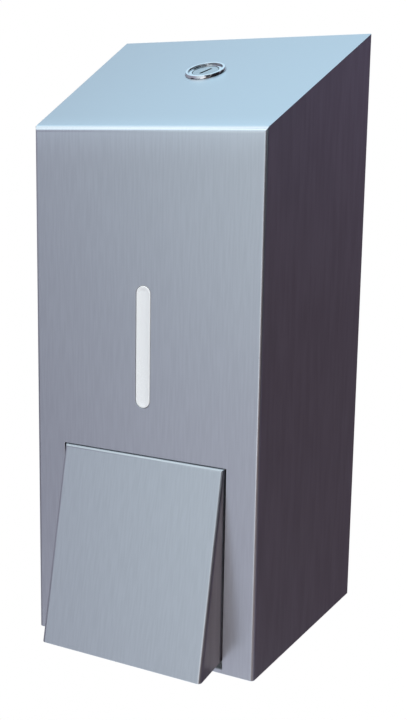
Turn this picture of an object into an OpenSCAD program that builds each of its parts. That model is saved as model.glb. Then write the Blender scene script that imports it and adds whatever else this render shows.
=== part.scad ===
// Wall-mounted liquid soap dispenser: folded steel cover, push lever, tank and piston pump.
// Millimetres. Y = 0 is the wall and -Y is the front.
// Heights in the sizes below count from the cover's bottom edge. The drawn part has Z = 0 at the
// middle of the four wall screws.

/* [Cover] */
// Width of the cover at the wall
cover_back_w = 120; // [118:1:130]
// Width of the front face
cover_front_w = 99; // [97:1:108]
// Depth from the wall to the front face
cover_depth = 92; // [90:1:104]
// Height of the front face
cover_front_h = 211; // [205:1:235]
// Height of the cover at the wall
cover_back_h = 254; // [247:1:270]
// Sheet thickness of the cover
cover_t = 1; // [0.8:0.1:1.2]
// Outside radius of the bend between the front and the top
bend_r = 3.2; // [1.5:0.1:4]
// Outside radius of the bends between the front and the sides
side_bend_r = 1.5; // [1.4:0.1:3]
// Depth of the stiffening lip under the front face
lip_depth = 8; // [4:0.5:9]
// Width of the notch in the lip that lets the soap fall
lip_notch_w = 30; // [20:1:50]
// Gap between the cover's rear edge and the wall
wall_gap = 1; // [0.5:0.1:1.5]

/* [Sight slot] */
// Width of the slot in the front face
slot_w = 6.4; // [5:0.1:10]
// Length of the slot
slot_h = 48.6; // [30:0.2:70]
// Height of the slot's lower end
slot_z = 102.7; // [98:0.1:120]
// Width of the lens's flange round the slot, behind the sheet
lens_flange = 3.5; // [2:0.5:6]
// Thickness of the lens's flange
lens_t = 1.5; // [1:0.1:2.5]
// How far the lens stands out of the cover's outside face
lens_stand = 0.1; // [0.05:0.05:0.6]
// Gap round the lens in its slot
lens_gap = 0.15; // [0.05:0.05:0.2]
// Width of the rim round the lens's hollow
lens_rim = 0.45; // [0.3:0.05:0.8]
// Depth of the lens's hollow
lens_dish = 0.35; // [0.1:0.05:0.5]
// Width of the hollow's flat floor
lens_floor = 2; // [1:0.1:2.6]

/* [Push lever] */
// Width of the lever
lever_w = 71.4; // [60:0.2:76]
// Height of the lever's upper edge
lever_top_z = 83.5; // [78:0.5:90]
// Height of the lever's lower edge
lever_bottom_z = 4.8; // [4:0.1:6]
// How far the lever stands out of the front face at its lower edge
lever_reach = 18.55; // [17:0.05:24]
// How far the lever stands out of the front face at its upper edge
lever_stand = 0.9; // [0.5:0.1:1.5]
// Sheet thickness of the lever
lever_t = 1; // [0.8:0.1:1.5]
// Outside radius of the lever's bends
lever_bend_r = 1.5; // [1.2:0.1:2.5]
// Depth of the lever's side walls behind the front face at rest
lever_inset = 5.5; // [4:0.5:7]
// Gap between the lever and the sides of its opening
lever_side_gap = 0.55; // [0.4:0.05:1]
// Gap between the lever and the upper edge of its opening
lever_top_gap = 0.2; // [0.2:0.1:1]
// Height of the strip of front face left under the opening
strip_h = 1.8; // [1.5:0.1:2]
// Diameter of the lever's pin
lever_pin_d = 4; // [3:0.1:5]
// Distance of the lever's pin behind the front face
lever_pin_back = 4.6; // [4.5:0.1:5]
// Distance of the lever's pin under the lever's upper edge
lever_pin_drop = 5.5; // [5:0.1:8]
// Wall of the bushes on the lever's pin
bush_wall = 0.8; // [0.5:0.1:1]
// Running gap on the lever's pin and on the hinge pins
pin_gap = 0.05; // [0.02:0.01:0.1]
// Sheet thickness of the brackets that carry the lever's pin
bracket_t = 1.5; // [1:0.1:2]
// Height of the brackets
bracket_h = 18; // [14:1:20]
// Gap between the brackets' feet and the cover's side walls
bracket_side_gap = 2.6; // [1:0.1:4]
// Gap between the lever's opening and the brackets
bracket_gap = 0.9; // [0.5:0.1:1.2]
// Thickness of the retaining rings on the lever's pin
clip_t = 0.9; // [0.6:0.1:1.2]
// Width of the retaining rings' band
clip_band = 1.2; // [0.8:0.1:1.3]
// Thickness of the pad between the lever and the pump
pad_t = 2; // [1:0.1:3]
// Width and height of the pad
pad_w = 22; // [16:1:30]

/* [Back plate] */
// Gap between the plate's side flanges and the cover's side walls, at the hinge
plate_side_gap = 4; // [3.4:0.1:4.6]
// Sheet thickness of the back plate
plate_t = 1.2; // [1:0.1:1.6]
// Depth of the side flanges from the wall
plate_flange = 16; // [14.5:0.5:20]
// Outside radius of the plate's bends
plate_bend_r = 2.4; // [1.8:0.1:3]
// Distance between the cover's upper rear edge and the plate's upper edge
plate_top_gap = 9; // [7:0.5:14]
// Distance between the wall screws across
screw_x = 70; // [64:1:76]
// Distance between the wall screws up
screw_z = 130; // [120:1:135]
// Height of the lower wall screws
screw_low_z = 80; // [76:1:90]
// Diameter of the wall screw holes
screw_d = 5.5; // [4.5:0.1:6.5]

/* [Cover hinge] */
// Diameter of the hinge pins
hinge_pin_d = 4; // [3:0.1:4.4]
// Distance of the hinge axis from the wall
hinge_back = 9; // [8.6:0.1:10]
// Height of the hinge axis
hinge_z = 4; // [3.8:0.1:4.2]
// Diameter of the bosses in the cover's side walls
boss_d = 8; // [7:0.1:8.4]
// Thickness of the washers on the hinge pins
washer_t = 0.8; // [0.5:0.1:1]
// Gap between the washers and the bosses
washer_gap = 0.3; // [0.2:0.05:0.4]
// Depth of the hinge pins in their bosses
pin_depth = 1.8; // [1.4:0.1:2]

/* [Tank] */
// Wall of the tank
tank_t = 2; // [1.5:0.1:3]
// Radius of the tank's upright edges
tank_r = 8; // [5:0.5:12]
// Gap between the tank and the cover's side walls
tank_side_gap = 9.5; // [8.5:0.5:12]
// Gap between the tank and the back plate
tank_rear_gap = 6.3; // [4.5:0.1:7]
// Room between the tank and the front face for the lever's brackets
tank_front_gap = 15; // [13:0.5:18]
// Distance of the tank's rim under the cover's front upper edge
tank_headroom = 21; // [19:0.5:30]
// Thickness of the lid
lid_t = 1.6; // [1:0.1:2.5]
// Depth of the lid's skirt
lid_skirt = 7; // [4:0.5:12]
// Gap between the lid's skirt and the tank
lid_gap = 0.35; // [0.2:0.05:0.5]
// Height of the lid's grip
grip_h = 5; // [3:0.5:6]
// Outside diameter of the tank's neck
neck_d = 33; // [30:0.5:36]
// Wall of the tank's neck
neck_wall = 3.5; // [2.5:0.1:4.5]
// Length of the tank's neck
neck_len = 14; // [12:0.5:16]
// Sheet thickness of the shelf under the tank
shelf_t = 1.2; // [1:0.1:2]
// Width of the shelf
shelf_w = 80; // [70:1:84]
// Distance of the shelf's front edge behind the tank's front
shelf_setback = 5; // [2:0.5:12]
// Depth of the shelf's leg down the back plate
shelf_leg = 22; // [14:1:26]
// Gap between the neck and the shelf
shelf_gap = 1; // [0.5:0.1:1.5]

/* [Pump] */
// Height of the pump's axis
pump_z = 28; // [26:0.5:30]
// Bore of the pump's cylinder
pump_bore = 20; // [18:0.5:22]
// Wall of the pump's cylinder
pump_wall = 3; // [2:0.1:3.5]
// Distance of the pump's closed end from the wall
pump_rear = 14; // [12:0.5:15]
// Length of the pump's cylinder
pump_len = 46; // [44:0.5:48]
// Distance of the neck's axis from the wall
neck_back = 28; // [26:0.5:30]
// Diameter of the pump's inlet stem
stem_d = 20; // [18:0.5:21]
// Bore of the inlet stem
stem_bore = 13; // [11:0.5:14]
// Length of the inlet stem over the cylinder
stem_len = 6; // [5:0.5:8]
// Thickness of the flange under the neck
flange_t = 3; // [2:0.1:4]
// Gap between the flange and the nut
flange_gap = 0.6; // [0.3:0.1:0.8]
// Thickness of the neck's gasket
gasket_t = 2; // [1:0.1:3]
// Diameter of the inlet holes in the flange
inlet_d = 3; // [2:0.1:3.2]
// Thickness of the inlet valve's disc
valve_t = 1.2; // [0.8:0.1:1.6]
// Diameter of the inlet valve's stem
valve_stem_d = 2.8; // [2:0.1:3]
// Wall of the nut
nut_wall = 4; // [3:0.1:5]
// Thickness of the nut's lip
nut_lip = 3; // [2:0.1:4]
// Length of the neck inside the nut
nut_grip = 8; // [6:0.5:10]
// Gap between the neck and the nut
nut_gap = 0.3; // [0.2:0.05:0.4]
// Thickness of the cylinder's end cap
cap_t = 4; // [3:0.1:5]
// Depth of the end cap's skirt on the cylinder
cap_skirt = 6; // [4:0.5:9]
// Wall of the end cap's skirt
cap_wall = 2; // [1.5:0.1:3]
// Gap between the end cap and the cylinder
cap_gap = 0.1; // [0.05:0.01:0.15]
// Diameter of the plunger's tube
plunger_d = 12; // [10:0.1:13]
// Bore of the plunger
plunger_bore = 5; // [4.4:0.1:6]
// Running gap of the plunger in its end cap and of the seal in its cylinder
slide_gap = 0.05; // [0.02:0.01:0.1]
// Gap between the piston and its cylinder
piston_gap = 0.3; // [0.2:0.05:0.4]
// Length of the piston
piston_len = 7.5; // [6:0.1:9]
// Thickness of the piston's seal ring
seal_d = 2.6; // [2:0.1:3]
// Thickness of the return spring's wire
wire_d = 1.2; // [0.8:0.1:1.5]
// Number of the return spring's turns
spring_turns = 8; // [5:1:10]

/* [Spout] */
// Diameter of the spout's head
head_d = 18; // [16:0.5:20]
// Radius of the head's rounded nose
nose_r = 15; // [12:0.5:20]
// Gap between the nose and the lever's pad at rest
nose_gap = 0.3; // [0.2:0.05:0.5]
// Length of the head behind its nose
head_len = 12; // [11:0.5:14]
// Diameter of the spout
spout_d = 10; // [9:0.1:12]
// Bore of the spout
spout_bore = 4; // [3:0.1:4.2]
// Height of the spout's lower end
spout_z = 10; // [8:0.5:14]
// Length of the spout's outlet valve
duckbill_h = 5; // [3:0.5:5.5]

/* [Lock] */
// Distance of the lock from the front upper edge, up the slope
lock_up = 58.5; // [54:0.5:64]
// Diameter of the lock's head
lock_head_d = 17.8; // [17:0.1:22]
// Height of the lock's head
lock_head_h = 1.25; // [1:0.05:1.6]
// How far the side of the lock's head leans in
lock_lean = 0.5; // [0.1:0.05:0.6]
// Width of the raised ring round the lock's face
lock_ring_w = 1; // [0.8:0.1:1.4]
// Depth of the lock's face under its ring
lock_recess = 0.75; // [0.4:0.05:0.9]
// Depth of the core's face under the housing's
core_recess = 0.1; // [0.05:0.05:0.3]
// Diameter of the lock's barrel
barrel_d = 16; // [15:0.1:16.6]
// Length of the barrel under the cover's outside face
barrel_len = 16; // [12:0.5:17]
// Gap between the barrel and its hole in the cover
barrel_gap = 0.1; // [0.05:0.05:0.3]
// Diameter of the lock's turning core
core_d = 11.5; // [10:0.1:12]
// Width of the key's slot
key_w = 1.3; // [1:0.1:2]
// Length of the key's slot
key_l = 6.5; // [5:0.1:8]
// Angle of the key's slot from the slope
key_turn = 27; // [0:1:60]
// Thickness of the lock's washer
lock_washer_t = 1; // [0.6:0.1:1.5]
// Thickness of the lock's nut
lock_nut_t = 4; // [3:0.1:5]
// Width of the lock's nut across its flats
lock_nut_w = 20; // [18.5:0.5:22]
// Length of the cam from the lock's axis
cam_l = 22; // [18:0.5:25]
// Width of the cam
cam_w = 12; // [10:0.5:13]
// Thickness of the cam
cam_t = 2; // [1.5:0.1:3]
// Width of the core's square end
square_w = 6; // [5:0.1:6.5]
// Diameter of the cam's screw
cam_screw_d = 4; // [3:0.1:4]
// Gap between the barrel and the cam
cam_gap = 0.3; // [0.2:0.05:0.5]
// Sheet thickness of the strike behind which the cam turns
strike_t = 1.5; // [1:0.1:2]
// Width of the strike
strike_w = 13; // [8:0.5:15]
// Distance of the strike from the middle of the dispenser
strike_x = 11; // [10:0.5:13]
// Gap between the turned cam and the strike's lip
strike_gap = 0.7; // [0.4:0.1:1]
// Gap between the cam and the strike's arm
arm_gap = 3.5; // [3:0.1:5]
// Height of the strike's foot on the back plate
foot_h = 20; // [12:1:24]

/* [Hidden] */
$fn = 64;
eps = 0.01;
// The round of a corner stays this much inside the corner's straight sides
seam = 0.02;
far = 400;

steel = [0.72, 0.74, 0.77];
zinc = [0.62, 0.64, 0.66];
white = [0.93, 0.94, 0.93];
clear_white = [0.88, 0.91, 0.92];
rubber = [0.15, 0.15, 0.16];
chrome = [0.82, 0.84, 0.86];

mount_rise = screw_low_z + screw_z / 2;

// Cover
slope = atan2(cover_back_h - cover_front_h, cover_depth);
taper = atan2((cover_back_w - cover_front_w) / 2, cover_depth);
front_y = -cover_depth;
front_in_y = front_y + cover_t;
function side_x(y, inset) = cover_back_w / 2 + y * tan(taper) - inset / cos(taper);
function roof_z(y, inset) = cover_back_h + y * tan(slope) - inset / cos(slope);

// Lever
tilt = atan2(lever_reach - lever_stand, lever_top_z - lever_bottom_z);
function lever_y(z, inset) = front_y - lever_stand - (lever_top_z - z) * tan(tilt) + inset / cos(tilt);
lever_pin_y = front_y + lever_pin_back;
lever_pin_z = lever_top_z - lever_pin_drop;
lever_pin_r = lever_pin_d / 2;
bush_r = lever_pin_r + pin_gap + bush_wall;
ear_r = bush_r + 1.4;
opening_w = lever_w + 2 * lever_side_gap;
opening_top = lever_top_z + lever_top_gap;
bracket_x = opening_w / 2 + bracket_gap;
bracket_end = side_x(front_in_y, cover_t) - bracket_side_gap;
ring_x = bracket_x + bracket_t + 0.3;
ring_room = lever_pin_r + clip_band + 0.6;

// Back plate and hinge
plate_h = cover_back_h - plate_top_gap;
hinge_y = -hinge_back;
plate_w = 2 * (side_x(hinge_y, cover_t) - plate_side_gap);
hinge_r = hinge_pin_d / 2;
boss_x = plate_w / 2 + washer_t + washer_gap;

// Pump, from the axis up to the tank
pump_r = pump_bore / 2 + pump_wall;
pump_back_y = -pump_rear;
pump_front_y = pump_back_y - pump_len;
flange_z = pump_z + pump_r + stem_len;
flange_top = flange_z + flange_t;
neck_z = flange_top + gasket_t;
tank_z = neck_z + neck_len;
nut_r = neck_d / 2 + nut_gap;
flange_r = nut_r - flange_gap;
neck_y = -neck_back;
neck_bore_r = neck_d / 2 - neck_wall;
inlet_ring = (valve_stem_d + inlet_d) / 2 + 1.2;
cap_r = pump_r + cap_gap + cap_wall;
piston_r = pump_bore / 2 - piston_gap;
piston_y = pump_front_y + 0.3;
piston_back_y = piston_y + piston_len;
seal_r = pump_bore / 2 - slide_gap - seal_d / 2;
chamber_y = pump_back_y - pump_wall;

// Tank
tank_top = cover_front_h - tank_headroom;
tank_rear_y = -plate_t - tank_rear_gap;
tank_front_y = front_y + tank_front_gap;
lid_out = lid_gap + lid_t;
shelf_d = -tank_front_y - shelf_setback;

// Spout
pad_y = lever_y(pump_z, lever_t + pad_t);
nose_y = pad_y + (nose_r + nose_gap) / cos(tilt);
nose_tip_y = nose_y - nose_r;
head_r = head_d / 2;
nose_sag = nose_r - sqrt(nose_r * nose_r - head_r * head_r);
head_y = nose_tip_y + nose_sag;
head_back_y = head_y + head_len;
spout_y = head_y + spout_d / 2 + 0.5;
socket_y = head_back_y - 5;

// Lock, in its own frame: Z along the lock, 0 at the cover's outside face, Y up the slope
lock_y = front_y + lock_up * cos(slope);
lock_z = cover_front_h + lock_up * sin(slope);
core_r = core_d / 2;
lock_r = lock_head_d / 2;
lock_face = lock_head_h - lock_recess;
core_top = lock_face - core_recess;
cam_z = -barrel_len - cam_gap;
arm_z = cam_z - cam_t - arm_gap;
lip_y = -cam_w / 2 - strike_gap;
arm_end_y = (-plate_t - lock_y + arm_z * sin(slope)) / cos(slope);
foot_top = lock_z + arm_end_y * sin(slope) + arm_z * cos(slope);

// Return spring
spring_r = pump_bore / 2 - piston_gap - wire_d / 2 - 0.6;
spring_from = piston_back_y + wire_d / 2 + 0.1;
spring_to = chamber_y - wire_d / 2 - 0.1;
spring_rings = 16;
spring_sides = 6;
spring_n = spring_turns * spring_rings;
spring_pitch = (spring_to - spring_from) / spring_turns;
echo(spring_gap = spring_pitch * cos(atan(spring_pitch / (2 * PI * spring_r))) - wire_d);

// Part frame, and the frames of single pieces
module placed() {
    translate([0, 0, -mount_rise]) children();
}
module across(w) {
    translate([-w / 2, 0, 0]) rotate([90, 0, 90]) linear_extrude(w) children();
}
module rod(x0, x1, r, y, z) {
    translate([x0, y, z]) rotate([0, 90, 0]) cylinder(h = x1 - x0, r = r);
}
module shaft(y0, y1, r, z) {
    translate([0, y0, z]) rotate([-90, 0, 0]) cylinder(h = y1 - y0, r = r);
}
module post(z0, z1, r, y) {
    translate([0, y, z0]) cylinder(h = z1 - z0, r = r);
}
module block(x0, x1, y0, y1, z0, z1) {
    translate([x0, y0, z0]) cube([x1 - x0, y1 - y0, z1 - z0]);
}
module both_sides() {
    children();
    mirror([1, 0, 0]) children();
}
module lock_frame() {
    translate([0, lock_y, lock_z]) rotate([slope, 0, 0]) children();
}

// Outline with round corners. The sharp corners run anticlockwise, each with its own radius.
function unit(v) = v / norm(v);
function toward(p, q) = unit(q - p);
function half_angle(p, a, b) = acos(toward(p, a) * toward(p, b)) / 2;
function corner_points(p, a, b, r) = r == 0 ? [p] : [
    p + toward(p, a) * r / tan(half_angle(p, a, b)),
    p + toward(p, b) * r / tan(half_angle(p, a, b))];
function corner_centre(p, a, b, r) =
    p + unit(toward(p, a) + toward(p, b)) * r / sin(half_angle(p, a, b));
module rounded_outline(pts, radii) {
    n = len(pts);
    polygon([for (i = [0 : n - 1])
        each corner_points(pts[i], pts[(i + n - 1) % n], pts[(i + 1) % n], radii[i])]);
    for (i = [0 : n - 1]) {
        if (radii[i] > 0) {
            translate(corner_centre(pts[i], pts[(i + n - 1) % n], pts[(i + 1) % n], radii[i]))
                circle(r = radii[i] - seam);
        }
    }
}
// Slot with round ends, upright, seen along Y
module obround(w, h, z0, y0, y1) {
    r = w / 2;
    block(-r, r, y0, y1, z0 + r, z0 + h - r);
    for (z = [z0 + r, z0 + h - r]) {
        shaft(y0, y1, r, z);
    }
}

// Cover's outside and inside, also used to fit pieces to the inside
module cover_plan(inset, back_y) {
    y = front_y + inset;
    r = side_bend_r - inset;
    rounded_outline([[side_x(back_y, inset), back_y], [-side_x(back_y, inset), back_y],
        [-side_x(y, inset), y], [side_x(y, inset), y]], [0, 0, r, r]);
}
module cover_profile(inset, back_y, low_z) {
    y = front_y + inset;
    r = bend_r - inset;
    rounded_outline([[back_y, low_z], [back_y, roof_z(back_y, inset)], [y, roof_z(y, inset)],
        [y, low_z]], [0, 0, r, 0]);
}
module cover_solid(inset, back_y, low_z) {
    intersection() {
        translate([0, 0, low_z]) linear_extrude(far) cover_plan(inset, back_y);
        across(far) cover_profile(inset, back_y, low_z);
    }
}

module cover_shell() {
    color(steel) difference() {
        union() {
            difference() {
                cover_solid(0, -wall_gap, 0);
                cover_solid(cover_t, 20, -20);
            }
            intersection() {
                cover_solid(0, -wall_gap, 0);
                block(-far / 2, far / 2, front_y, front_y + lip_depth, 0, cover_t);
            }
        }
        block(-opening_w / 2, opening_w / 2, front_y - 5, front_in_y + eps, strip_h, opening_top);
        block(-lip_notch_w / 2, lip_notch_w / 2, front_y + 2 * cover_t, 0, -5, cover_t + 5);
        obround(slot_w, slot_h, slot_z, front_y - 5, front_in_y + 5);
        lock_frame() translate([0, 0, -cover_t - 5]) cylinder(h = 20, d = barrel_d + 2 * barrel_gap);
    }
}
module hinge_bosses() {
    color(steel) both_sides() difference() {
        intersection() {
            rod(boss_x, far / 2, boss_d / 2, hinge_y, hinge_z);
            cover_solid(cover_t, 20, -20);
        }
        rod(0, boss_x + pin_depth + 0.2, hinge_r + pin_gap, hinge_y, hinge_z);
    }
}
// Hollow of the lens: sloping sides down to a flat floor, the same all round
module lens_hollow() {
    y0 = front_y - lens_stand - 0.1;
    y1 = front_y - lens_stand + lens_dish;
    floor_r = lens_floor / 2;
    rim_r = slot_w / 2 - lens_gap - lens_rim;
    mouth_r = floor_r + (rim_r - floor_r) * (lens_dish + 0.1) / lens_dish;
    low_z = slot_z + slot_w / 2;
    high_z = slot_z + slot_h - slot_w / 2;
    translate([0, 0, low_z]) linear_extrude(high_z - low_z)
        polygon([[-mouth_r, y0], [mouth_r, y0], [floor_r, y1], [-floor_r, y1]]);
    for (z = [low_z, high_z]) {
        translate([0, y0, z]) rotate([-90, 0, 0])
            cylinder(h = y1 - y0, r1 = mouth_r - seam, r2 = floor_r - seam);
    }
}
module sight_lens() {
    color(clear_white) difference() {
        union() {
            obround(slot_w + 2 * lens_flange, slot_h + 2 * lens_flange, slot_z - lens_flange,
                front_in_y, front_in_y + lens_t);
            obround(slot_w - 2 * lens_gap, slot_h - 2 * lens_gap, slot_z + lens_gap,
                front_y - lens_stand, front_in_y + lens_t);
        }
        lens_hollow();
    }
}
module lever_brackets() {
    color(steel) both_sides() difference() {
        union() {
            block(bracket_x, bracket_x + bracket_t, front_in_y, lever_pin_y + 2,
                lever_pin_z - bracket_h / 2, lever_pin_z + bracket_h / 2);
            rod(bracket_x, bracket_x + bracket_t, ear_r, lever_pin_y + 2, lever_pin_z);
            block(bracket_x, bracket_end, front_in_y, front_in_y + bracket_t,
                lever_pin_z - bracket_h / 2, lever_pin_z - ring_room);
            block(bracket_x, bracket_end, front_in_y, front_in_y + bracket_t,
                lever_pin_z + ring_room, lever_pin_z + bracket_h / 2);
        }
        rod(0, far, lever_pin_r + 0.02, lever_pin_y, lever_pin_z);
    }
}
module lever_pin() {
    color(zinc) rod(-ring_x - clip_t - 1, ring_x + clip_t + 1, lever_pin_r, lever_pin_y, lever_pin_z);
}
module lever_pin_rings() {
    color(zinc) both_sides() difference() {
        rod(ring_x, ring_x + clip_t, lever_pin_r + clip_band, lever_pin_y, lever_pin_z);
        rod(0, far, lever_pin_r + 0.02, lever_pin_y, lever_pin_z);
    }
}

// Lever: a sheet folded back at the top and both sides, its side walls cut to this side view
module lever_side() {
    polygon([[lever_y(lever_top_z, 0) - 3, lever_top_z + 5],
        [lever_y(lever_bottom_z, 0) - 3, lever_bottom_z],
        [front_y + lever_inset, lever_bottom_z],
        [front_y + lever_inset, lever_pin_z],
        [lever_pin_y, lever_pin_z + ear_r],
        [lever_pin_y, lever_top_z + 5]]);
    translate([lever_pin_y, lever_pin_z]) circle(r = ear_r);
}
module lever_plan(inset, r) {
    x = lever_w / 2 - inset;
    rounded_outline([[x, 60 + inset], [-x, 60 + inset], [-x, inset], [x, inset]], [0, 0, r, r]);
}
module lever_profile(inset, r) {
    rear_y = front_y + 40 + inset;
    low_z = -20 - inset;
    top_z = lever_top_z - inset;
    rounded_outline([[rear_y, low_z], [rear_y, top_z], [lever_y(top_z, inset), top_z],
        [lever_y(low_z, inset), low_z]], [0, 0, r, 0]);
}
module lever_solid(inset, r) {
    intersection() {
        translate([0, lever_y(0, 0), 0]) rotate([-tilt, 0, 0]) translate([0, 0, -60])
            linear_extrude(200) lever_plan(inset, r);
        across(far) lever_profile(inset, r);
    }
}
module tray(w, depth, t, r, len) {
    linear_extrude(len) difference() {
        rounded_outline([[w / 2, depth], [-w / 2, depth], [-w / 2, 0], [w / 2, 0]], [0, 0, r, r]);
        rounded_outline([[w / 2 - t, depth + 1], [t - w / 2, depth + 1], [t - w / 2, t],
            [w / 2 - t, t]], [0, 0, r - t, r - t]);
    }
}
module push_lever() {
    color(steel) difference() {
        intersection() {
            difference() {
                lever_solid(0, lever_bend_r);
                lever_solid(lever_t, lever_bend_r - lever_t);
            }
            across(far) lever_side();
        }
        rod(-far / 2, far / 2, bush_r + 0.02, lever_pin_y, lever_pin_z);
    }
}
module lever_bushes() {
    x = lever_w / 2 - lever_t;
    color(white) both_sides() difference() {
        union() {
            rod(x, lever_w / 2, bush_r, lever_pin_y, lever_pin_z);
            rod(x - 0.8, x, bush_r + 1, lever_pin_y, lever_pin_z);
        }
        rod(0, far, lever_pin_r + pin_gap, lever_pin_y, lever_pin_z);
    }
}
module lever_pad() {
    color(rubber) translate([0, lever_y(pump_z, lever_t + eps), pump_z]) rotate([-tilt, 0, 0])
        block(-pad_w / 2, pad_w / 2, 0, pad_t, -pad_w / 2, pad_w / 2);
}

module back_plate() {
    color(zinc) difference() {
        mirror([0, 1, 0]) tray(plate_w, plate_flange, plate_t, plate_bend_r, plate_h);
        for (x = [-screw_x / 2, screw_x / 2]) {
            for (z = [screw_low_z, screw_low_z + screw_z]) {
                translate([x, 5, z]) rotate([90, 0, 0]) cylinder(h = 10, d = screw_d);
            }
        }
        rod(-far / 2, far / 2, hinge_r + 0.02, hinge_y, hinge_z);
    }
}
module hinge_pins() {
    x = plate_w / 2;
    color(zinc) both_sides() {
        rod(x - plate_t, boss_x + pin_depth, hinge_r, hinge_y, hinge_z);
        rod(x - plate_t - 1.2, x - plate_t, hinge_r + 1.2, hinge_y, hinge_z);
    }
}
module hinge_washers() {
    color(white) both_sides() difference() {
        rod(plate_w / 2, plate_w / 2 + washer_t, boss_d / 2 - 0.2, hinge_y, hinge_z);
        rod(0, far, hinge_r + 0.02, hinge_y, hinge_z);
    }
}
module strike_bracket() {
    x1 = -strike_x;
    x0 = x1 - strike_w;
    color(zinc) {
        difference() {
            lock_frame() {
                block(x0, x1, lip_y - strike_t, lip_y, arm_z - strike_t, cam_z + 3);
                block(x0, x1, lip_y - strike_t, arm_end_y + 10, arm_z - strike_t, arm_z);
            }
            block(-far / 2, far / 2, -plate_t - strike_t / 2, far, 0, far);
        }
        block(x0 - 1, x1 + 1, -plate_t - strike_t, -plate_t, foot_top - foot_h, foot_top + 1);
    }
}
module tank_shelf() {
    y = -plate_t;
    color(zinc) difference() {
        union() {
            block(-shelf_w / 2, shelf_w / 2, -shelf_d, y, tank_z - shelf_t, tank_z);
            block(-shelf_w / 2, shelf_w / 2, y - shelf_t, y, tank_z - shelf_leg, tank_z);
            for (x = [-shelf_w / 2, shelf_w / 2 - shelf_t]) {
                translate([x + shelf_t / 2, 0, 0]) across(shelf_t)
                    polygon([[y, tank_z], [y, tank_z - shelf_leg], [y - 8, tank_z - shelf_leg],
                        [-shelf_d, tank_z - 5], [-shelf_d, tank_z]]);
            }
        }
        post(0, far, neck_d / 2 + shelf_gap, neck_y);
    }
}

// Tank's plan, wider towards the wall like the cover
module tank_plan(grow, r) {
    inset = cover_t + tank_side_gap - grow;
    y0 = tank_front_y - grow;
    y1 = tank_rear_y + grow;
    rounded_outline([[side_x(y1, inset), y1], [-side_x(y1, inset), y1], [-side_x(y0, inset), y0],
        [side_x(y0, inset), y0]], [r, r, r, r]);
}
module tank() {
    color(clear_white) difference() {
        union() {
            translate([0, 0, tank_z]) linear_extrude(tank_top - tank_z) tank_plan(0, tank_r);
            post(neck_z, tank_z + eps, neck_d / 2, neck_y);
        }
        translate([0, 0, tank_z + tank_t]) linear_extrude(far) tank_plan(-tank_t, tank_r - tank_t);
        post(0, far, neck_bore_r, neck_y);
    }
}
module tank_lid() {
    grip_y = (tank_front_y + tank_rear_y) / 2;
    color(white) {
        difference() {
            translate([0, 0, tank_top - lid_skirt]) linear_extrude(lid_skirt + lid_t)
                tank_plan(lid_out, tank_r + lid_out);
            translate([0, 0, 0]) linear_extrude(tank_top) tank_plan(lid_gap, tank_r + lid_gap);
        }
        block(-18, 18, grip_y - 2, grip_y + 2, tank_top, tank_top + lid_t + grip_h);
    }
}
module neck_gasket() {
    color(rubber) difference() {
        post(flange_top, neck_z, neck_d / 2, neck_y);
        post(0, far, neck_bore_r, neck_y);
    }
}
module pump_nut() {
    color(white) difference() {
        union() {
            post(flange_z - nut_lip, neck_z + nut_grip, nut_r + nut_wall, neck_y);
            for (a = [0 : 15 : 345]) {
                translate([0, neck_y, flange_z - nut_lip]) rotate([0, 0, a])
                    block(nut_r + nut_wall - 1, nut_r + nut_wall + 1, -1, 1, 0.5,
                        neck_z + nut_grip - flange_z + nut_lip - 0.5);
            }
        }
        post(flange_z, far, nut_r, neck_y);
        post(0, far, stem_d / 2 + 0.5, neck_y);
    }
}
module pump_body() {
    color(white) difference() {
        union() {
            shaft(pump_front_y, pump_back_y, pump_r, pump_z);
            post(pump_z, flange_z, stem_d / 2, neck_y);
            post(flange_z, flange_top, flange_r, neck_y);
        }
        shaft(pump_front_y - 5, chamber_y, pump_bore / 2, pump_z);
        post(pump_z, flange_z, stem_bore / 2, neck_y);
        post(flange_z - 1, far, valve_stem_d / 2 + 0.05, neck_y);
        for (a = [0 : 60 : 300]) {
            translate([0, neck_y, 0]) rotate([0, 0, a]) translate([inlet_ring, 0, flange_z - 5])
                cylinder(h = 20, d = inlet_d);
        }
    }
}
module inlet_valve() {
    color(rubber) {
        post(flange_z - valve_t, flange_z, stem_bore / 2 - 0.6, neck_y);
        post(flange_z - valve_t, flange_top + 0.2, valve_stem_d / 2, neck_y);
        post(flange_top + 0.2, flange_top + 1.4, valve_stem_d / 2 + 0.6, neck_y);
    }
}
module pump_end_cap() {
    color(white) difference() {
        union() {
            shaft(pump_front_y - cap_t, pump_front_y + cap_skirt, cap_r, pump_z);
            for (a = [0 : 30 : 330]) {
                translate([0, 0, pump_z]) rotate([0, a, 0])
                    block(cap_r - 1, cap_r + 0.8, pump_front_y - cap_t + 0.5,
                        pump_front_y + cap_skirt - 0.5, -1, 1);
            }
        }
        shaft(pump_front_y, 0, pump_r + cap_gap, pump_z);
        shaft(-far, 0, plunger_d / 2 + slide_gap, pump_z);
    }
}
module plunger() {
    seal_y = piston_y + piston_len / 2;
    color(white) difference() {
        union() {
            shaft(piston_y, piston_back_y, piston_r, pump_z);
            shaft(socket_y, piston_y + eps, plunger_d / 2, pump_z);
        }
        shaft(-far, 0, plunger_bore / 2, pump_z);
        difference() {
            shaft(seal_y - seal_d / 2 - 0.2, seal_y + seal_d / 2 + 0.2, pump_bore, pump_z);
            shaft(seal_y - seal_d, seal_y + seal_d, seal_r - seal_d / 2 - 0.05, pump_z);
        }
    }
}
module piston_seal() {
    color(rubber) translate([0, piston_y + piston_len / 2, pump_z]) rotate([-90, 0, 0])
        rotate_extrude() translate([seal_r, 0]) circle(d = seal_d);
}
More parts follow.
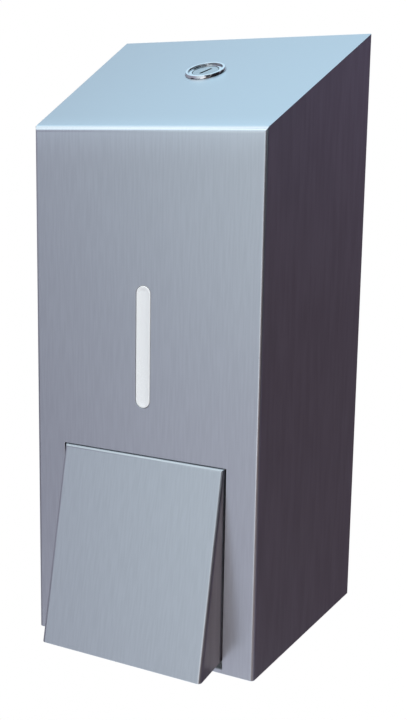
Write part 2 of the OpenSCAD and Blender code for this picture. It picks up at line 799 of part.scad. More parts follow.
module spout_head() {
    color(white) difference() {
        union() {
            translate([0, nose_y, pump_z]) rotate([-90, 0, 0]) rotate_extrude() nose_outline();
            post(spout_z, pump_z, spout_d / 2, spout_y);
        }
        shaft(socket_y, 0, plunger_d / 2 + 0.02, pump_z);
        shaft(spout_y - spout_bore / 2, 0, plunger_bore / 2, pump_z);
        post(0, pump_z, spout_bore / 2, spout_y);
    }
}
module nose_outline() {
    intersection() {
        translate([0, -nose_r]) square([head_r, head_back_y - nose_tip_y]);
        union() {
            circle(r = nose_r);
            translate([0, head_y - nose_y]) square([head_r + 5, head_len + 5]);
        }
    }
}
module outlet_valve() {
    color(rubber) translate([0, spout_y, spout_z - duckbill_h]) difference() {
        cylinder(h = duckbill_h, r1 = 2, r2 = spout_d / 2 - 0.5);
        translate([0, 0, -1]) cylinder(h = duckbill_h + 2, r = 0.8);
    }
}
function coil(i, a) = let (t = i * 360 / spring_rings, rr = spring_r + wire_d / 2 * cos(a))
    [rr * cos(t), spring_from + spring_pitch * i / spring_rings + wire_d / 2 * sin(a),
        pump_z + rr * sin(t)];
module return_spring() {
    k = spring_sides;
    color(zinc) polyhedron(
        points = [for (i = [0 : spring_n]) for (j = [0 : k - 1]) coil(i, j * 360 / k)],
        faces = concat(
            [for (i = [0 : spring_n - 1]) for (j = [0 : k - 1])
                [i * k + j, i * k + (j + 1) % k, (i + 1) * k + j]],
            [for (i = [0 : spring_n - 1]) for (j = [0 : k - 1])
                [i * k + (j + 1) % k, (i + 1) * k + (j + 1) % k, (i + 1) * k + j]],
            [for (j = [1 : k - 2]) [0, j + 1, j]],
            [for (j = [1 : k - 2]) [spring_n * k, spring_n * k + j, spring_n * k + j + 1]]));
}

module lock_housing() {
    r0 = core_r + pin_gap;
    rim_r = lock_r - lock_lean;
    ring_r = rim_r - lock_ring_w;
    color(chrome) lock_frame() rotate_extrude()
        polygon([[r0, -barrel_len], [barrel_d / 2, -barrel_len], [barrel_d / 2, 0], [lock_r, 0],
            [rim_r, lock_head_h], [ring_r, lock_head_h], [ring_r, lock_face], [r0, lock_face]]);
}
module lock_washer() {
    color(zinc) lock_frame() translate([0, 0, -cover_t - lock_washer_t - eps]) difference() {
        cylinder(h = lock_washer_t, d = lock_nut_w + 1);
        translate([0, 0, -1]) cylinder(h = lock_washer_t + 2, d = barrel_d + 2 * barrel_gap);
    }
}
module lock_nut() {
    color(zinc) lock_frame() translate([0, 0, -cover_t - lock_washer_t - lock_nut_t - 2 * eps]) difference() {
        cylinder(h = lock_nut_t, d = lock_nut_w / cos(30), $fn = 6);
        translate([0, 0, -1]) cylinder(h = lock_nut_t + 2, d = barrel_d + 2 * barrel_gap);
    }
}
module lock_core() {
    color(chrome) lock_frame() difference() {
        union() {
            rotate_extrude() rounded_outline([[0, cam_z], [core_r, cam_z],
                [core_r, core_top], [0, core_top]], [0, 0, 0.3, 0]);
            block(-square_w / 2, square_w / 2, -square_w / 2, square_w / 2, cam_z - cam_t, cam_z + eps);
        }
        rotate([0, 0, -key_turn])
            block(-key_w / 2, key_w / 2, -key_l / 2, key_l / 2, core_top - 2.4, core_top + 1);
        translate([0, 0, cam_z - cam_t - 1]) cylinder(h = 8, d = cam_screw_d + 0.04);
    }
}
module lock_cam() {
    s = square_w / 2 + 0.05;
    color(zinc) lock_frame() translate([0, 0, cam_z - cam_t]) difference() {
        union() {
            cylinder(h = cam_t, d = cam_w);
            block(-cam_w / 2, cam_w / 2, 0, cam_l - cam_w / 2, 0, cam_t);
            translate([0, cam_l - cam_w / 2, 0]) cylinder(h = cam_t, d = cam_w);
        }
        block(-s, s, -s, s, -1, cam_t + 1);
    }
}
module cam_screw() {
    color(zinc) lock_frame() translate([0, 0, cam_z - cam_t]) {
        cylinder(h = 6, d = cam_screw_d);
        translate([0, 0, -2.4]) cylinder(h = 2.4, d = 9);
    }
}

placed() back_plate();
placed() strike_bracket();
placed() hinge_pins();
placed() hinge_washers();
placed() tank_shelf();
placed() tank();
placed() neck_gasket();
placed() pump_nut();
placed() pump_body();
placed() pump_end_cap();
placed() inlet_valve();
placed() return_spring();
placed() cover_shell();
placed() hinge_bosses();
placed() sight_lens();
placed() lever_brackets();
placed() lever_pin();
placed() lever_pin_rings();
placed() lock_housing();
placed() lock_washer();
placed() lock_nut();
placed() push_lever();
placed() lever_bushes();
placed() lever_pad();
placed() plunger();
placed() piston_seal();
placed() spout_head();
placed() outlet_valve();
placed() lock_core();
placed() lock_cam();
placed() cam_screw();
placed() tank_lid();
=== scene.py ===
import math

import bmesh
import bpy
from mathutils import Matrix, Vector


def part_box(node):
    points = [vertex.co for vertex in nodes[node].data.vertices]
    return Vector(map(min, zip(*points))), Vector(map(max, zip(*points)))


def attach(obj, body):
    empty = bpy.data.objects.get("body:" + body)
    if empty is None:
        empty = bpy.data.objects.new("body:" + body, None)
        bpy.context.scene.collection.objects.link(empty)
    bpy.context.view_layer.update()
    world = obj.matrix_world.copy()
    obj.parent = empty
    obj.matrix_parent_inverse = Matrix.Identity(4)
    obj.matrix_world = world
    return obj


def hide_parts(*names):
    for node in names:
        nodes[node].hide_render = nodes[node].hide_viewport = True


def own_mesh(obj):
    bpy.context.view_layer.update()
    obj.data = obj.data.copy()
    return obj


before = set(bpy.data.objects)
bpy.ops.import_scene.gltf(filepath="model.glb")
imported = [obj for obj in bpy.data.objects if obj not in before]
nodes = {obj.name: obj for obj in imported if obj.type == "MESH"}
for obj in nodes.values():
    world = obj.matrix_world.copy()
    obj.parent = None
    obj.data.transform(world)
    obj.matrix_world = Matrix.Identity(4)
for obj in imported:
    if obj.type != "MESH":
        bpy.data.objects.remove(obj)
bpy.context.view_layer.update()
scene = bpy.context.scene
scene.view_settings.view_transform = "Standard"

# Lengths are in metres, in the CAD frame: x along the wall, y toward it (y = 0 is the wall), z up.
# The cover's outside faces, as its solid has them
FRONT_DEPTH = 0.092                       # from the wall to the front
HALF_WIDTH, SIDE_TAPER = 0.060, 0.1141    # at the wall, and its change with y
TOP_HEIGHT, TOP_SLOPE = 0.109, 0.4674     # at the wall, and its change with y


class Graph:
    """A node tree that is filled by calls: values are numbers, colours or other nodes' sockets."""

    def __init__(self, tree, prefix="ShaderNode"):
        self.tree = tree
        self.prefix = prefix
        tree.nodes.clear()

    def add(self, kind, out=0, ins=None, **settings):
        """Adds a node. Returns its output called out, or the node itself where out is None."""
        node = self.tree.nodes.new(self.prefix + kind)
        for key, value in settings.items():
            setattr(node, key, value)
        for key, value in (ins or {}).items():
            if isinstance(value, bpy.types.NodeSocket):
                self.tree.links.new(value, node.inputs[key])
            else:
                node.inputs[key].default_value = value
        return node if out is None else node.outputs[out]

    def math(self, operation, a, b=0.0, c=0.0):
        return self.add("Math", ins={0: a, 1: b, 2: c}, operation=operation)

    def total(self, *parts):
        """Sum of values, each given with its weight."""
        terms = [self.math("MULTIPLY", value, weight) for value, weight in parts]
        result = terms.pop()
        while terms:
            result = self.math("ADD", terms.pop(), result)
        return result

    def ramp(self, value, low, high, to_low=0.0, to_high=1.0, smooth=True):
        return self.add("MapRange", ins={0: value, 1: low, 2: high, 3: to_low, 4: to_high},
                        interpolation_type="SMOOTHSTEP" if smooth else "LINEAR")

    def mix(self, factor, a, b, blend="MIX"):
        return self.add("Mix", 2, {0: factor, 6: a, 7: b}, data_type="RGBA", blend_type=blend)

    def noise(self, vector, scale, detail):
        return self.add("TexNoise", ins={"Vector": vector, "Scale": scale, "Detail": detail})

    def stretched_noise(self, vector, scales, detail):
        stretched = self.add("VectorMath", ins={0: vector, 1: scales}, operation="MULTIPLY")
        return self.noise(stretched, 1.0, detail)


def rgb(r, g, b):
    return (r, g, b, 1.0)


def shades(colour, darker, lighter):
    """Two colours, the given one times each factor."""
    return [rgb(*(c * factor for c in colour)) for factor in (darker, lighter)]


# Camera, at the photograph's viewing angle

IMAGE_HEIGHT = 720                           # pixels
FOCAL_LENGTH, CENTRE_ROW = 948.83, 310.02    # pixels
SENSOR = 36.0                                # millimetres
YAW, PITCH, ROLL = -25.139, -9.096, 0.966    # degrees
CAMERA_PLACE = (0.17439, -0.40884, 0.05496)


def make_camera():
    yaw, pitch, roll = (math.radians(a) for a in (YAW, PITCH, ROLL))
    ahead = Vector((math.sin(yaw) * math.cos(pitch), math.cos(yaw) * math.cos(pitch),
                    math.sin(pitch)))
    right = Vector((math.cos(yaw), -math.sin(yaw), 0.0))
    up = right.cross(ahead)
    x = right * math.cos(roll) + up * math.sin(roll)
    y = up * math.cos(roll) - right * math.sin(roll)
    data = bpy.data.cameras.new("camera")
    data.sensor_width = SENSOR
    data.lens = FOCAL_LENGTH / IMAGE_HEIGHT * SENSOR
    data.shift_y = (CENTRE_ROW - IMAGE_HEIGHT / 2) / IMAGE_HEIGHT
    data.clip_start = 0.01
    camera = bpy.data.objects.new("camera", data)
    scene.collection.objects.link(camera)
    turn = Matrix((x, y, -ahead)).transposed().to_4x4()
    camera.matrix_world = Matrix.Translation(CAMERA_PLACE) @ turn
    scene.camera = camera


# Studio: a soft world, white behind the object, one lamp and a pale floor

# The world from dark behind to pale in front: place on the way to PALE_SIDE, and colour
PALE_SIDE = (0.25, -0.93, 0.22)
GRADIENT = (
    (0.30, (0.35, 0.34, 0.41)), (0.44, (0.365, 0.355, 0.435)), (0.506, (0.388, 0.382, 0.471)),
    (0.58, (0.43, 0.434, 0.52)), (0.636, (0.484, 0.50, 0.594)), (0.696, (0.56, 0.622, 0.70)),
    (0.764, (0.684, 0.773, 0.825)), (1.0, (0.95, 1.02, 1.08)),
)
# Blue light from above, and the heights between which it sets in
SKY_LIGHT, SKY_HEIGHTS = (0.818, 1.13, 1.332), (0.46, 0.70)
# Patches over it: middle, cosines at the rim and where it is full, colour, and the heights between
# which it fades out, if it does
PATCHES = (
    ((0.0, 1.0, 0.0), 0.15, 0.55, (0.11, 0.09, 0.12), (0.28, 0.66)),          # dark rear
    ((0.74, 0.66, -0.1), 0.35, 0.72, (0.125, 0.096, 0.145), (0.25, 0.58)),    # dark right rear
    ((0.55, 0.72, -0.42), 0.80, 0.97, (0.082, 0.060, 0.078), None),           # darker low down
    ((-0.34, -0.34, 0.875), 0.80, 0.93, (1.30, 1.46, 1.54), None),            # ceiling lamp
    ((-0.27, -0.36, 0.89), 0.95, 0.985, (1.9, 2.06, 2.12), None),             # its middle
    ((0.55, -0.70, -0.45), 0.80, 0.93, (0.285, 0.215, 0.21), None),           # low right front
    ((-0.25, -0.85, -0.46), 0.94, 0.99, (0.535, 0.53, 0.62), None),           # low left front
    ((0.93, -0.30, 0.15), 0.82, 0.93, (0.02, 0.02, 0.024), None),             # dark right
    ((0.82, 0.50, 0.25), 0.92, 0.975, (0.02, 0.02, 0.024), None),             # dark far right
    ((0.08, -0.96, -0.27), 0.975, 0.99, (1.5, 1.5, 1.55), None),              # low front lamp
    ((-0.80, -0.53, -0.26), 0.965, 0.99, (0.04, 0.04, 0.05), None),           # dark left
    ((0.42, -0.89, 0.16), 0.93, 0.975, (0.06, 0.06, 0.07), None),             # behind the camera
    ((0.22, -0.97, -0.05), 0.980, 0.992, (1.1, 1.1, 1.15), None),             # small front lamp
)
# The part of the white background that metal and plastic mirror: middle, cosines at rim and full
BACKDROP, BACKDROP_COSINES = (-0.42, 0.89, -0.16), (0.93, 0.985)

FLOOR_CENTRE = (0.0, -0.06, -0.60)
FLOOR_RADIUS, FLOOR_SIDES = 0.70, 48
FLOOR_FADE = (0.25, 0.68)                 # radii between which the floor fades into the background
FLOOR_COLOUR, FLOOR_GLOW = (0.92, 0.92, 0.93), 0.30


def make_world():
    """A room as soft patches of light. The camera sees plain white, and so does metal that mirrors
    what lies straight behind the object."""
    world = bpy.data.worlds.new("studio")
    scene.world = world
    world.use_nodes = True
    g = Graph(world.node_tree)
    way = g.add("TexCoord", "Generated")
    height = g.add("SeparateXYZ", "Z", {0: way})

    def toward(direction):
        return g.add("VectorMath", "Value", {0: way, 1: Vector(direction).normalized()},
                     operation="DOT_PRODUCT")

    light = g.add("ValToRGB", "Color", {0: toward(PALE_SIDE)})
    stops = light.node.color_ramp.elements
    for i in (0, -1):
        stops[i].position, stops[i].color = GRADIENT[i][0], rgb(*GRADIENT[i][1])
    for place, colour in GRADIENT[1:-1]:
        stops.new(place).color = rgb(*colour)
    light = g.mix(g.ramp(height, *SKY_HEIGHTS), light, rgb(*SKY_LIGHT))
    for direction, rim, full, colour, fade in PATCHES:
        amount = g.ramp(toward(direction), rim, full)
        if fade:
            amount = g.math("MULTIPLY", amount, g.ramp(height, *fade, 1.0, 0.0))
        light = g.mix(amount, light, rgb(*colour))
    path = g.add("LightPath", None).outputs
    mirrored = g.math("MAXIMUM", path["Is Glossy Ray"], path["Is Transmission Ray"])
    behind = g.ramp(toward(BACKDROP), *BACKDROP_COSINES)
    seen = g.math("MAXIMUM", path["Is Camera Ray"], g.math("MULTIPLY", mirrored, behind))
    sky = g.add("Background", ins={"Color": g.mix(seen, light, rgb(1, 1, 1)), "Strength": 1.0})
    g.add("OutputWorld", None, {0: sky})


def make_lamp(name, place, target, size, power, colour):
    """Square lamp that lights the object and isn't mirrored in it."""
    data = bpy.data.lights.new(name, "AREA")
    data.shape = "RECTANGLE"
    data.size = data.size_y = size
    data.energy = power
    data.color = colour
    lamp = bpy.data.objects.new(name, data)
    scene.collection.objects.link(lamp)
    lamp.location = place
    lamp.visible_glossy = False
    lamp.rotation_euler = (Vector(target) - Vector(place)).to_track_quat("-Z", "Y").to_euler()


def make_floor():
    """Pale disc well below the object, which hangs on a wall. It fades out toward its rim."""
    mesh = bpy.data.meshes.new("floor")
    angles = [i * math.tau / FLOOR_SIDES for i in range(FLOOR_SIDES)]
    ring = [(FLOOR_RADIUS * math.cos(a), FLOOR_RADIUS * math.sin(a) + FLOOR_CENTRE[1],
             FLOOR_CENTRE[2]) for a in angles]
    mesh.from_pydata(ring, [], [list(range(FLOOR_SIDES))])
    floor = bpy.data.objects.new("floor", mesh)
    scene.collection.objects.link(floor)
    material, g = new_material("floor")
    place = g.add("TexCoord", "Object")
    away = g.add("VectorMath", "Value", {0: place, 1: FLOOR_CENTRE}, operation="DISTANCE")
    pale = g.add("BsdfDiffuse", ins={"Color": rgb(*FLOOR_COLOUR)})
    fill = g.add("Emission", ins={"Color": rgb(1, 1, 1), "Strength": FLOOR_GLOW})
    both = g.add("AddShader", ins={0: pale, 1: fill})
    clear = g.add("BsdfTransparent")
    shade = g.add("MixShader", ins={0: g.ramp(away, *FLOOR_FADE), 1: both, 2: clear})
    g.add("OutputMaterial", None, {0: shade})
    mesh.materials.append(material)


# Materials. Scales of noise are cells per metre.

# Streaks of the brushed steel: scale across and along the grain, detail and seed
LINES = (1300.0, 75.0, 1.0, 0.0)
BANDS = (170.0, 6.0, 2.0, 7.0)
SIDE_STREAKS = (260.0, 28.0, 2.0, 13.0)
TOP_GRAIN, SIDE_GRAIN = 0.2, 0.9              # strength of the grain there; 1 on the front
INSIDE = (0.0004, 0.0008)                     # depths behind the outside faces where it sets in
# Dull mill finish of the sheet's inside, painted darker than bare steel as shade inside the cover
MILL_FINISH_AND_SHADE = ((0.25, 0.25, 0.255), (0.32, 0.32, 0.325))
# Painted highlight along the front's top bend: where its mask runs, the top's share of it, and its
# tint
FRONT_BEND, TOP_BEND = (0.050, 0.0635), (-0.080, -0.0895)    # z on the front, y on the top
TOP_BEND_SHARE = 0.75
BEND_PAINTED_HIGHLIGHT = (1.13, 1.145, 1.15)
# Painted shade in narrow gaps, from ambient occlusion, low on the object only
PAINTED_GAP_SHADE, PAINTED_GAP_SHADE_REACH = (0.024, 0.018, 0.021), 0.0015
PAINTED_GAP_SHADE_HEIGHTS = (-0.095, -0.063)              # full painted shade below, none above
# Painted shade in the lock's hollow and where it meets the cover, from ambient occlusion
LOCK_PAINTED_SHADE, LOCK_PAINTED_SHADE_REACH = (0.020, 0.028, 0.036), 0.0012
MIDDLE = (0.3, 0.7)                           # where nearly all values of a noise lie


def new_material(name):
    material = bpy.data.materials.new(name)
    material.use_nodes = True
    return material, Graph(material.node_tree)


def finish_material(g, ins, bump, strength, distance, normal=None):
    """Adds the shader with its bump, on the mesh's normal or on the one given."""
    relief = {"Strength": strength, "Distance": distance, "Height": bump}
    if normal:
        relief["Normal"] = normal
    shader = g.add("BsdfPrincipled", ins={**ins, "Normal": g.add("Bump", ins=relief)})
    g.add("OutputMaterial", None, {0: shader})


def inside_cover(g, x, y, z):
    """1 behind the cover's outside faces, 0 on them: the sheet's other side is left as milled, and
    its dark colour there is partly painted shade.
    """
    def behind(distance):
        return g.ramp(distance, *INSIDE, smooth=False)

    half_width = g.math("MULTIPLY_ADD", y, SIDE_TAPER, HALF_WIDTH)
    top = g.math("MULTIPLY_ADD", y, TOP_SLOPE, TOP_HEIGHT)
    front = behind(g.math("ADD", y, FRONT_DEPTH))
    side = behind(g.math("SUBTRACT", half_width, g.math("ABSOLUTE", x)))
    roof = behind(g.math("SUBTRACT", top, z))
    return g.math("MULTIPLY", front, g.math("MULTIPLY", side, roof))


def bend_highlight_mask(g, y, z, facing):
    """Mask of the painted highlight that grows toward the bend between the front and the sloped
    top.
    """
    front = g.math("MULTIPLY", g.ramp(z, *FRONT_BEND, smooth=False),
                   g.ramp(facing["Y"], -0.9, -0.8, 1.0, 0.0))
    top = g.math("MULTIPLY", g.ramp(y, *TOP_BEND, smooth=False), g.ramp(facing["Z"], 0.8, 0.85))
    near = g.math("MAXIMUM", front, g.math("MULTIPLY", top, TOP_BEND_SHARE))
    return g.math("MULTIPLY", near, near)


def leaning_sides(g, normal, side, lean):
    """Normal of sheet whose side flanges are bowed: they shade as if they leaned forward a bit."""
    forward = g.add("CombineXYZ", ins={1: g.math("MULTIPLY", side, -lean)})
    leant = g.add("VectorMath", ins={0: normal, 1: forward}, operation="ADD")
    turned = g.add("VectorTransform", ins={0: leant}, vector_type="NORMAL",
                   convert_from="OBJECT", convert_to="WORLD")
    return g.add("VectorMath", ins={0: turned}, operation="NORMALIZE")


def brushed_steel(name, colour, roughness, up_bend_shade=1.0, side_shade_tint=(1.0, 1.0, 1.0), lean=0.0):
    """Sheet with an upright grain that runs on over the bends, fine lines in broader streaks, with
    a dull inside whose darkness is partly painted shade, a painted highlight along the front's top
    bend and painted shade low in the narrow gaps.
    up_bend_shade is painted shade on bends that face up, side_shade_tint a tint of painted shade
    on the sides, and lean is a slope of the sides."""
    material, g = new_material(name)
    coords = g.add("TexCoord", None).outputs
    x, y, z = g.add("SeparateXYZ", None, {0: coords["Object"]}).outputs
    facing = g.add("SeparateXYZ", None, {0: coords["Normal"]}).outputs
    side = g.ramp(g.math("ABSOLUTE", facing["X"]), 0.6, 0.8)
    across = g.add("Mix", 0, {0: side, 2: x, 3: y}, data_type="FLOAT")
    along = g.math("ADD", z, g.math("MULTIPLY", y, g.math("SUBTRACT", 1.0, side)))

    def streaks(scale_across, scale_along, detail, seed):
        vector = g.add("CombineXYZ", ins={0: g.math("MULTIPLY", across, scale_across),
                                          1: g.math("MULTIPLY", along, scale_along), 2: seed})
        return g.noise(vector, 1.0, detail)

    # The grain, weaker on the top and the sides
    lines = streaks(*LINES)
    cloud = g.noise(coords["Object"], 14.0, 2.0)
    tone = g.total((lines, 0.75), (streaks(*BANDS), 0.10), (cloud, 0.15))
    strength = g.math("MULTIPLY", g.ramp(facing["Z"], 0.5, 0.85, 1.0, TOP_GRAIN),
                      g.ramp(side, 0.0, 1.0, 1.0, SIDE_GRAIN))
    grain = g.math("MULTIPLY_ADD", g.ramp(tone, 0.32, 0.68, -0.5, 0.5), strength, 0.5)
    base = g.mix(grain, *shades(colour, 0.968, 1.03))

    # Painted shade on bends that face up, grain streaks and a tint of painted shade on the sides,
    # and a painted highlight along the top bend
    # Painted shade on bends that face up, which dims their highlight
    bend = g.math("MULTIPLY", g.ramp(facing["Z"], 0.2, 0.5),
                  g.ramp(facing["Z"], 0.93, 0.985, 1.0, 0.0))
    base = g.mix(bend, base, rgb(up_bend_shade, up_bend_shade, up_bend_shade), "MULTIPLY")
    # Grain streaks on the sides, times a tint of painted shade
    side_streaks_and_shade = g.mix(g.ramp(streaks(*SIDE_STREAKS), *MIDDLE), *shades(side_shade_tint, 0.94, 1.06))
    base = g.mix(side, base, side_streaks_and_shade, "MULTIPLY")
    base = g.mix(bend_highlight_mask(g, y, z, facing), base, rgb(*BEND_PAINTED_HIGHLIGHT), "MULTIPLY")

    # The dull inside, its darkness partly painted shade, and painted shade low in the narrow gaps
    inner = inside_cover(g, x, y, z)
    base = g.mix(inner, base, g.mix(cloud, rgb(*MILL_FINISH_AND_SHADE[0]), rgb(*MILL_FINISH_AND_SHADE[1])))
    open_air = g.add("AmbientOcclusion", "AO", {"Distance": PAINTED_GAP_SHADE_REACH}, samples=8)
    gap_shade = g.math("MULTIPLY", g.ramp(open_air, 0.25, 0.55, 1.0, 0.0),
                   g.ramp(z, *PAINTED_GAP_SHADE_HEIGHTS, 1.0, 0.0))
    base = g.mix(gap_shade, base, rgb(*PAINTED_GAP_SHADE))

    rough = g.ramp(g.total((lines, 0.7), (cloud, 0.3)), *MIDDLE,
                   roughness - 0.02, roughness + 0.03)
    rough = g.math("MULTIPLY_ADD", inner, 0.15, rough)
    normal = leaning_sides(g, coords["Normal"], side, lean) if lean else None
    finish_material(g, {"Base Color": base, "Metallic": 1.0, "Roughness": rough},
                    lines, 0.01, 0.00005, normal)
    return material


def plated_steel(name, colour, roughness):
    """Dull zinc plate with a faint spangle and rubbed spots."""
    material, g = new_material(name)
    place = g.add("TexCoord", "Object")
    grains = g.add("TexVoronoi", "Color", {"Vector": place, "Scale": 420.0})
    spangle = g.add("SeparateColor", 0, {0: grains})
    cloud = g.noise(place, 35.0, 2.0)
    tone = g.total((spangle, 0.5), (cloud, 0.5))
    base = g.mix(tone, *shades(colour, 0.93, 1.06))
    rough = g.ramp(tone, 0.2, 0.8, roughness - 0.03, roughness + 0.06)
    finish_material(g, {"Base Color": base, "Metallic": 0.9, "Roughness": rough},
                    cloud, 0.05, 0.0002)
    return material


def drawn_wire(name, colour):
    """Bright wire and pins, with fine drawn lines."""
    material, g = new_material(name)
    lines = g.stretched_noise(g.add("TexCoord", "Object"), (120.0, 1500.0, 1500.0), 2.0)
    base = g.mix(lines, *shades(colour, 0.8, 1.0))
    rough = g.ramp(lines, *MIDDLE, 0.2, 0.32)
    finish_material(g, {"Base Color": base, "Metallic": 1.0, "Roughness": rough},
                    lines, 0.05, 0.0001)
    return material


def polished_chrome(name, dark, light, roughness):
    """Plated metal with a cloudy shine, fine rubbed lines and painted shade in its hollow and
    where it meets other parts.
    """
    material, g = new_material(name)
    place = g.add("TexCoord", "Object")
    haze = g.noise(place, 300.0, 3.0)
    scratch = g.stretched_noise(place, (2500.0, 200.0, 900.0), 1.0)
    base = g.mix(haze, rgb(*dark), rgb(*light))
    # Painted shade in hollows and at contacts
    open_air = g.add("AmbientOcclusion", "AO", {"Distance": LOCK_PAINTED_SHADE_REACH}, samples=8)
    base = g.mix(g.ramp(open_air, 0.50, 0.80, 1.0, 0.0), base, rgb(*LOCK_PAINTED_SHADE))
    rough = g.ramp(g.total((haze, 0.5), (scratch, 0.5)), *MIDDLE,
                   roughness - 0.03, roughness + 0.03)
    finish_material(g, {"Base Color": base, "Metallic": 1.0, "Roughness": rough},
                    scratch, 0.02, 0.0001)
    return material


def moulded_plastic(name, colour, roughness, subsurface=0.0):
    """Plastic with a fine moulded skin and slightly uneven colour."""
    material, g = new_material(name)
    place = g.add("TexCoord", "Object")
    skin = g.noise(place, 1800.0, 2.0)
    cloud = g.noise(place, 30.0, 3.0)
    base = g.mix(cloud, *shades(colour, 0.94, 1.03))
    rough = g.ramp(g.total((skin, 0.5), (cloud, 0.5)), *MIDDLE,
                   roughness - 0.05, roughness + 0.08)
    ins = {"Base Color": base, "Roughness": rough, "IOR": 1.49}
    if subsurface:
        ins["Subsurface Weight"] = subsurface
        ins["Subsurface Radius"] = (0.004, 0.004, 0.004)
    finish_material(g, ins, skin, 0.03, 0.0001)
    return material


def soft_rubber(name):
    """Black rubber with a matt grain."""
    material, g = new_material(name)
    place = g.add("TexCoord", "Object")
    grain = g.noise(place, 900.0, 3.0)
    cloud = g.noise(place, 60.0, 2.0)
    base = g.mix(cloud, rgb(0.020, 0.020, 0.022), rgb(0.050, 0.050, 0.054))
    rough = g.ramp(grain, *MIDDLE, 0.55, 0.75)
    finish_material(g, {"Base Color": base, "Roughness": rough}, grain, 0.15, 0.0002)
    return material


# Return spring: a round wire with closed, flat end turns

def make_spring(material):
    low, high = (Vector(p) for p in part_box("return_spring"))
    middle = (low + high) / 2
    wire = 0.0006                                # radius
    radius = (high.x - low.x) / 2 - wire
    start, end = low.y + wire, high.y - wire
    turns, closed, sides, steps = 8, 1.0, 12, 36
    play = 1.04                                  # the closed turns nearly touch
    lead = wire * 2 * play
    pitch = (end - start - 2 * closed * lead) / (turns - 2 * closed)
    nudge = 0.01                                 # turns, to find the wire's direction

    def rise(turn):
        if turn < closed:
            return turn * lead
        if turn > turns - closed:
            return end - start - (turns - turn) * lead
        return closed * lead + (turn - closed) * pitch

    def centre(turn):
        angle = turn * math.tau
        return Vector((middle.x + radius * math.cos(angle), start + rise(turn),
                       middle.z + radius * math.sin(angle)))

    points, faces = [], []
    count = turns * steps + 1
    for i in range(count):
        turn = i / steps
        at = centre(turn)
        ahead = (centre(min(turn + nudge, turns)) - centre(max(turn - nudge, 0.0))).normalized()
        out = Vector((math.cos(turn * math.tau), 0.0, math.sin(turn * math.tau)))
        out = (out - ahead * out.dot(ahead)).normalized()
        up = ahead.cross(out)
        for j in range(sides):
            angle = j * math.tau / sides
            points.append(at + (out * math.cos(angle) + up * math.sin(angle)) * wire)
    for i in range(count - 1):
        for j in range(sides):
            a, b = i * sides + j, i * sides + (j + 1) % sides
            faces.append((a, b, b + sides, a + sides))
    faces.append(tuple(range(sides)))
    faces.append(tuple(range((count - 1) * sides, count * sides))[::-1])
    mesh = bpy.data.meshes.new("coil_spring")
    mesh.from_pydata([tuple(v) for v in points], [], faces)
    mesh.update()
    work = bmesh.new()
    work.from_mesh(mesh)
    bmesh.ops.recalc_face_normals(work, faces=work.faces)
    work.to_mesh(mesh)
    work.free()
    mesh.shade_smooth()
    mesh.materials.append(material)
    spring = bpy.data.objects.new("coil_spring", mesh)
    scene.collection.objects.link(spring)
    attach(spring, "base")
    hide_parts("return_spring")
    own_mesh(spring)


# Small rounds on the edges of the pieces from CAD

EDGE_ROUND = 0.00025                          # width, where EDGE_ROUNDS names no other
EDGE_ROUNDS = {
    "lever_pin_rings": 0.0001, "hinge_washers": 0.00012, "lever_bushes": 0.00012,
    "return_spring": 0.0, "piston_seal": 0.0, "lock_washer": 0.00015, "lever_pad": 0.0005,
    "tank_lid": 0.0004, "pump_nut": 0.00035, "pump_body": 0.0004, "spout_head": 0.0003,
    "sight_lens": 0.0003, "lock_housing": 0.00008, "lock_core": 0.00015, "cover_shell": 0.0002,
}
FOLDED = ("cover_shell", "push_lever")        # their bends are round in the solids
# Degrees: faces that are one flat face, edges that get a round, and the edges between two bends
FLAT_ANGLE = 0.4
EDGE_ANGLE, FOLDED_EDGE_ANGLE = 32.0, 60.0
CORNER_ANGLES = (18.5, 58.0)
MERGE, FOLDED_MERGE = 0.00006, 0.0001         # points this close become one


def crisp_corners(low, high):
    """Modifier that keeps the shading of two bends apart where they meet at a corner."""
    tree = bpy.data.node_groups.new("crisp_corners", "GeometryNodeTree")
    for way in ("INPUT", "OUTPUT"):
        tree.interface.new_socket("Geometry", in_out=way, socket_type="NodeSocketGeometry")
    g = Graph(tree, prefix="")
    start = g.add("NodeGroupInput")
    angle = g.add("GeometryNodeInputMeshEdgeAngle", "Unsigned Angle")
    over = g.add("FunctionNodeCompare", ins={0: angle, 1: math.radians(low)},
                 operation="GREATER_THAN")
    under = g.add("FunctionNodeCompare", ins={0: angle, 1: math.radians(high)},
                  operation="LESS_THAN")
    both = g.add("FunctionNodeBooleanMath", ins={0: over, 1: under}, operation="AND")
    crisp = g.add("GeometryNodeSetShadeSmooth", domain="EDGE",
                  ins={"Geometry": start, "Selection": both, "Shade Smooth": False})
    g.add("NodeGroupOutput", None, {0: crisp})
    return tree


def round_edges(node, width, limit, merge, corners=None):
    """Breaks a node's sharp edges: its flat faces become whole, and each edge gets a round."""
    node.data.shade_smooth()
    weld = node.modifiers.new("weld", "WELD")
    weld.merge_threshold = merge
    flat = node.modifiers.new("flat", "DECIMATE")
    flat.decimate_type = "DISSOLVE"
    flat.angle_limit = math.radians(FLAT_ANGLE)
    if corners:
        crisp = node.modifiers.new("corners", "NODES")
        crisp.node_group = corners
    bevel = node.modifiers.new("edges", "BEVEL")
    bevel.width = width
    bevel.segments = 3
    bevel.limit_method = "ANGLE"
    bevel.angle_limit = math.radians(limit)
    bevel.use_clamp_overlap = False
    bevel.harden_normals = True
    even = node.modifiers.new("even", "WEIGHTED_NORMAL")
    even.keep_sharp = True
    even.weight = 100


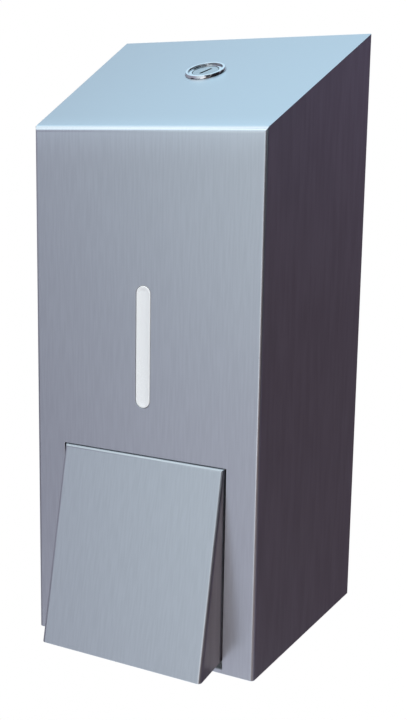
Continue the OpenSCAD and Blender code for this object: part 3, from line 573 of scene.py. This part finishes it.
def break_edges():
    corners = crisp_corners(*CORNER_ANGLES)
    for name, node in nodes.items():
        width = EDGE_ROUNDS.get(name, EDGE_ROUND)
        if name in FOLDED:
            round_edges(node, width, FOLDED_EDGE_ANGLE, FOLDED_MERGE, corners)
        elif width:
            round_edges(node, width, EDGE_ANGLE, MERGE)


def dress():
    """Gives every CAD node its material, and adds the spring."""
    cover = brushed_steel("cover_steel", (0.577, 0.600, 0.631), roughness=0.30)
    # The lever gets painted shade on bends that face up and on its side flanges
    lever = brushed_steel("lever_steel", (0.592, 0.617, 0.650), roughness=0.32, up_bend_shade=0.72,
                          side_shade_tint=(0.80, 0.75, 0.77), lean=0.10)
    plate = plated_steel("plate_steel", (0.60, 0.62, 0.64), roughness=0.36)
    wire = drawn_wire("wire_steel", (0.62, 0.63, 0.65))
    chrome = polished_chrome("lock_chrome", dark=(0.70, 0.72, 0.75), light=(0.82, 0.84, 0.86),
                             roughness=0.08)
    nickel = polished_chrome("core_nickel", dark=(0.34, 0.36, 0.38), light=(0.62, 0.64, 0.66),
                             roughness=0.20)
    white = moulded_plastic("white_plastic", (0.80, 0.81, 0.80), roughness=0.30)
    tank = moulded_plastic("tank_plastic", (0.74, 0.77, 0.77), roughness=0.38, subsurface=0.3)
    lens = moulded_plastic("lens_plastic", (0.845, 0.84, 0.83), roughness=0.22, subsurface=0.3)
    rubber = soft_rubber("black_rubber")
    finishes = {
        "cover_shell": cover, "push_lever": lever, "lock_housing": chrome, "lock_core": nickel,
        "sight_lens": lens, "tank": tank, "return_spring": wire, "lever_pin": wire,
        "lever_pin_rings": wire,
    }
    for name in ("hinge_washers", "pump_nut", "pump_body", "pump_end_cap", "lever_bushes",
                 "plunger", "spout_head", "tank_lid"):
        finishes[name] = white
    for name in ("neck_gasket", "inlet_valve", "lever_pad", "piston_seal", "outlet_valve"):
        finishes[name] = rubber
    for name, node in nodes.items():
        node.data.materials.clear()
        node.data.materials.append(finishes.get(name, plate))
    make_spring(wire)


make_camera()
make_world()
make_lamp("key", place=(0.75, -0.85, 1.10), target=(0, -0.05, 0.0), size=0.6, power=15.0,
          colour=(1.0, 0.98, 0.95))
make_floor()
dress()
break_edges()
